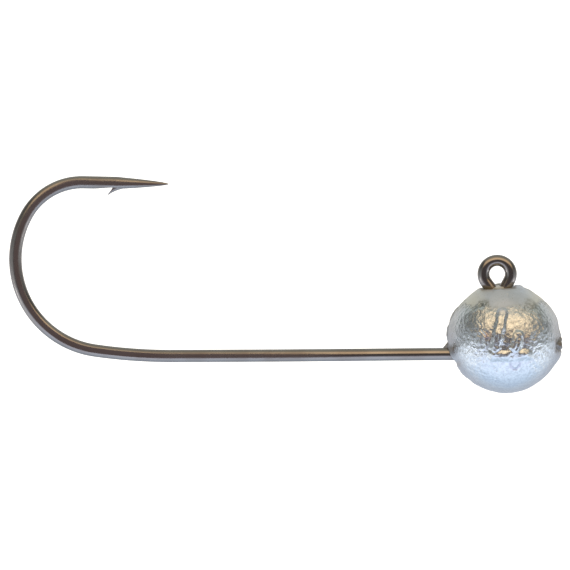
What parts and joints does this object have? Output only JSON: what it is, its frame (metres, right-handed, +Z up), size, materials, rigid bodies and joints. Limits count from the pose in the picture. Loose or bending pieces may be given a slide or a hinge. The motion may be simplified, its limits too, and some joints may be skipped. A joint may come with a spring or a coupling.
{
  "type": "jig head",
  "caption": "Ball jig head: an egg-round lead ball cast on a right-angle bend hook, with a line eye on top, a long straight shank and a barbed needle point.",
  "frame": {"origin": "centre of the line eye", "axes": "+Z up, +X from the hook's bend towards the nose of the ball, +Y through the line eye; the hook lies in the XZ plane"},
  "size_m": [0.045, 0.009, 0.0177],
  "materials": {
    "hook_wire": "gloss",
    "lead": "satin"
  },
  "bodies": {
    "root": {"hook": "hook_wire", "head": "lead"}
  },
  "joints": []
}
